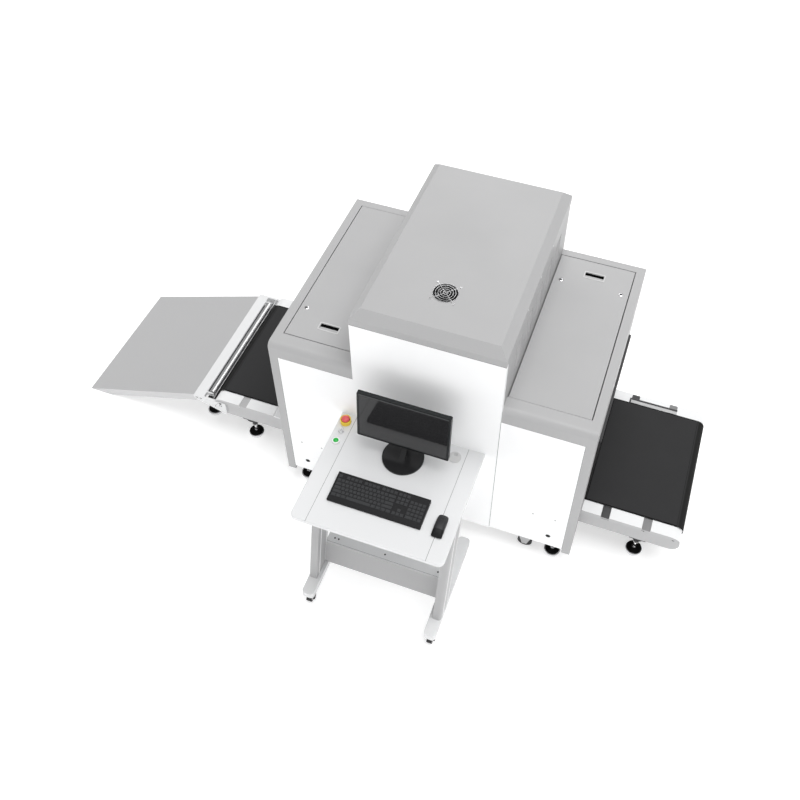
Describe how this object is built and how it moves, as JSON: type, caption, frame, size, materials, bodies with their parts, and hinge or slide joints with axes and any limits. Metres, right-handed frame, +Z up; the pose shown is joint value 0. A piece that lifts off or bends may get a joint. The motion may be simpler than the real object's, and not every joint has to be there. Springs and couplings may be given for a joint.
{
  "type": "baggage x-ray scanner",
  "caption": "Baggage x-ray scanner with a tall middle tower, a belt through a curtained tunnel, a ramp and an operator's desk with a monitor and controls.",
  "frame": {"origin": "on the floor, in the middle of the rectangle that the whole machine covers", "axes": "+X along the belt from the ramp end to the other end, +Y from the operator's desk to the back, +Z up"},
  "size_m": [3.43, 1.759, 1.4864],
  "materials": {
    "grey_coat": "light grey satin powder coat with a fine texture",
    "white_coat": "white satin powder coat",
    "dark_coat": "black satin powder coat",
    "steel": "brushed stainless steel",
    "bright": "bright plated steel",
    "belt_rubber": "charcoal matt belt",
    "curtain_rubber": "black lead rubber",
    "black_rubber": "black rubber",
    "black_plastic": "black textured plastic",
    "gloss_black": "black gloss plastic",
    "board": "white laminate",
    "pale_plastic": "light grey plastic",
    "red_plastic": "red gloss plastic",
    "yellow_plastic": "yellow plastic",
    "green_plastic": "green gloss plastic"
  },
  "bodies": {
    "machine": {"base_frame": "grey_coat", "belt": "belt_rubber", "belt_covers": "white_coat", "belt_drums": "steel", "cable_grommet": "pale_plastic", "control_bezels": "pale_plastic", "cross_members": "grey_coat", "curtain_clamps": "dark_coat", "desk_foot_bars": "white_coat", "desk_legs": "grey_coat", "desk_stretcher": "grey_coat", "desk_top": "board", "end_frame_left": "grey_coat", "end_frame_right": "grey_coat", "fan_frame": "black_plastic", "fan_guard": "bright", "foot_brackets": "dark_coat", "foot_pads": "bright", "foot_stems": "bright", "hood_back_panels": "white_coat", "hood_front_panels": "white_coat", "hood_top_left": "grey_coat", "hood_top_right": "grey_coat", "keyboard": "black_plastic", "monitor_stand": "gloss_black", "mouse": "black_plastic", "rail_back": "grey_coat", "rail_front": "grey_coat", "ramp": "steel", "slider_bed": "steel", "stop_base": "yellow_plastic", "tower_back_panel": "white_coat", "tower_cap": "grey_coat", "tower_front_panel": "white_coat", "tower_side_panels": "grey_coat", "transfer_frame": "white_coat", "transfer_pan": "dark_coat", "tunnel_liner": "steel"},
    "machine_wheel_back_left": {"caster_wheel_back_left": "black_rubber"},
    "machine_wheel_back_right": {"caster_wheel_back_right": "black_rubber"},
    "machine_wheel_front_left": {"caster_wheel_front_left": "black_rubber"},
    "machine_wheel_front_right": {"caster_wheel_front_right": "black_rubber"},
    "left_curtain": {"curtain_left": "curtain_rubber"},
    "right_curtain": {"curtain_right": "curtain_rubber"},
    "fork_back_left": {"desk_fork_back_left": "black_plastic"},
    "fork_back_right": {"desk_fork_back_right": "black_plastic"},
    "fork_front_left": {"desk_fork_front_left": "black_plastic"},
    "fork_front_right": {"desk_fork_front_right": "black_plastic"},
    "small_wheel_back_left": {"desk_wheel_back_left": "black_rubber"},
    "small_wheel_back_right": {"desk_wheel_back_right": "black_rubber"},
    "small_wheel_front_left": {"desk_wheel_front_left": "black_rubber"},
    "small_wheel_front_right": {"desk_wheel_front_right": "black_rubber"},
    "rotor": {"fan_rotor": "black_plastic"},
    "key_barrel": {"key_plug": "bright"},
    "left_lid": {"lid_left": "grey_coat"},
    "right_lid": {"lid_right": "grey_coat"},
    "screen": {"monitor": "black_plastic"},
    "start_cap": {"start_button": "green_plastic"},
    "stop_cap": {"stop_button": "red_plastic"},
    "roller": {"transfer_roller": "steel"}
  },
  "joints": [
    {"name": "lid_left_hinge", "type": "hinge", "parent": "machine", "child": "left_lid", "pos_m": [-0.1085, 0.8126, 1.113], "axis": [-1, 0, 0], "range_deg": [0, 78]},
    {"name": "lid_right_hinge", "type": "hinge", "parent": "machine", "child": "right_lid", "pos_m": [0.9785, -0.1486, 1.113], "axis": [1, 0, 0], "range_deg": [0, 78]},
    {"name": "curtain_left_swing", "type": "hinge", "parent": "machine", "child": "left_curtain", "pos_m": [-0.3475, 0.3215, 0.797], "axis": [0, 1, 0], "range_deg": [-60, 60]},
    {"name": "curtain_right_swing", "type": "hinge", "parent": "machine", "child": "right_curtain", "pos_m": [1.2175, 0.3215, 0.797], "axis": [0, 1, 0], "range_deg": [-60, 60]},
    {"name": "fan_spin", "type": "hinge", "parent": "machine", "child": "rotor", "pos_m": [0.435, 0.0105, 1.469], "axis": [0, 0, 1], "continuous": true},
    {"name": "roller_spin", "type": "hinge", "parent": "machine", "child": "roller", "pos_m": [-0.883, 0.3215, 0.265], "axis": [0, 1, 0], "continuous": true},
    {"name": "machine_wheel_front_left_spin", "type": "hinge", "parent": "machine", "child": "machine_wheel_front_left", "pos_m": [-0.105, -0.1825, 0.038], "axis": [0, 1, 0], "continuous": true},
    {"name": "machine_wheel_front_right_spin", "type": "hinge", "parent": "machine", "child": "machine_wheel_front_right", "pos_m": [0.975, -0.1825, 0.038], "axis": [0, 1, 0], "continuous": true},
    {"name": "machine_wheel_back_left_spin", "type": "hinge", "parent": "machine", "child": "machine_wheel_back_left", "pos_m": [-0.105, 0.8235, 0.038], "axis": [0, 1, 0], "continuous": true},
    {"name": "machine_wheel_back_right_spin", "type": "hinge", "parent": "machine", "child": "machine_wheel_back_right", "pos_m": [0.975, 0.8235, 0.038], "axis": [0, 1, 0], "continuous": true},
    {"name": "fork_front_left_swivel", "type": "hinge", "parent": "machine", "child": "fork_front_left", "pos_m": [0.0594, -0.8365, 0.069], "axis": [0, 0, 1], "continuous": true},
    {"name": "small_wheel_front_left_spin", "type": "hinge", "parent": "fork_front_left", "child": "small_wheel_front_left", "pos_m": [0.0594, -0.8505, 0.024], "axis": [1, 0, 0], "continuous": true},
    {"name": "fork_front_right_swivel", "type": "hinge", "parent": "machine", "child": "fork_front_right", "pos_m": [0.6894, -0.8365, 0.069], "axis": [0, 0, 1], "continuous": true},
    {"name": "small_wheel_front_right_spin", "type": "hinge", "parent": "fork_front_right", "child": "small_wheel_front_right", "pos_m": [0.6894, -0.8505, 0.024], "axis": [1, 0, 0], "continuous": true},
    {"name": "fork_back_left_swivel", "type": "hinge", "parent": "machine", "child": "fork_back_left", "pos_m": [0.0594, -0.3685, 0.069], "axis": [0, 0, 1], "continuous": true},
    {"name": "small_wheel_back_left_spin", "type": "hinge", "parent": "fork_back_left", "child": "small_wheel_back_left", "pos_m": [0.0594, -0.3825, 0.024], "axis": [1, 0, 0], "continuous": true},
    {"name": "fork_back_right_swivel", "type": "hinge", "parent": "machine", "child": "fork_back_right", "pos_m": [0.6894, -0.3685, 0.069], "axis": [0, 0, 1], "continuous": true},
    {"name": "small_wheel_back_right_spin", "type": "hinge", "parent": "fork_back_right", "child": "small_wheel_back_right", "pos_m": [0.6894, -0.3825, 0.024], "axis": [1, 0, 0], "continuous": true},
    {"name": "screen_tilt", "type": "hinge", "parent": "machine", "child": "screen", "pos_m": [0.382, -0.33038, 0.96768], "axis": [-1, 0, 0], "range_deg": [-5, 15]},
    {"name": "stop_press", "type": "slide", "parent": "machine", "child": "stop_cap", "axis": [0, 0, -1], "range_m": [0, 0.006]},
    {"name": "start_press", "type": "slide", "parent": "machine", "child": "start_cap", "axis": [0, 0, -1], "range_m": [0, 0.003], "stiffness_N_per_m": 600, "springref_m": -0.002},
    {"name": "key_turn", "type": "hinge", "parent": "machine", "child": "key_barrel", "pos_m": [0.055, -0.3465, 0.764], "axis": [0, 0, -1], "range_deg": [0, 90]}
  ]
}
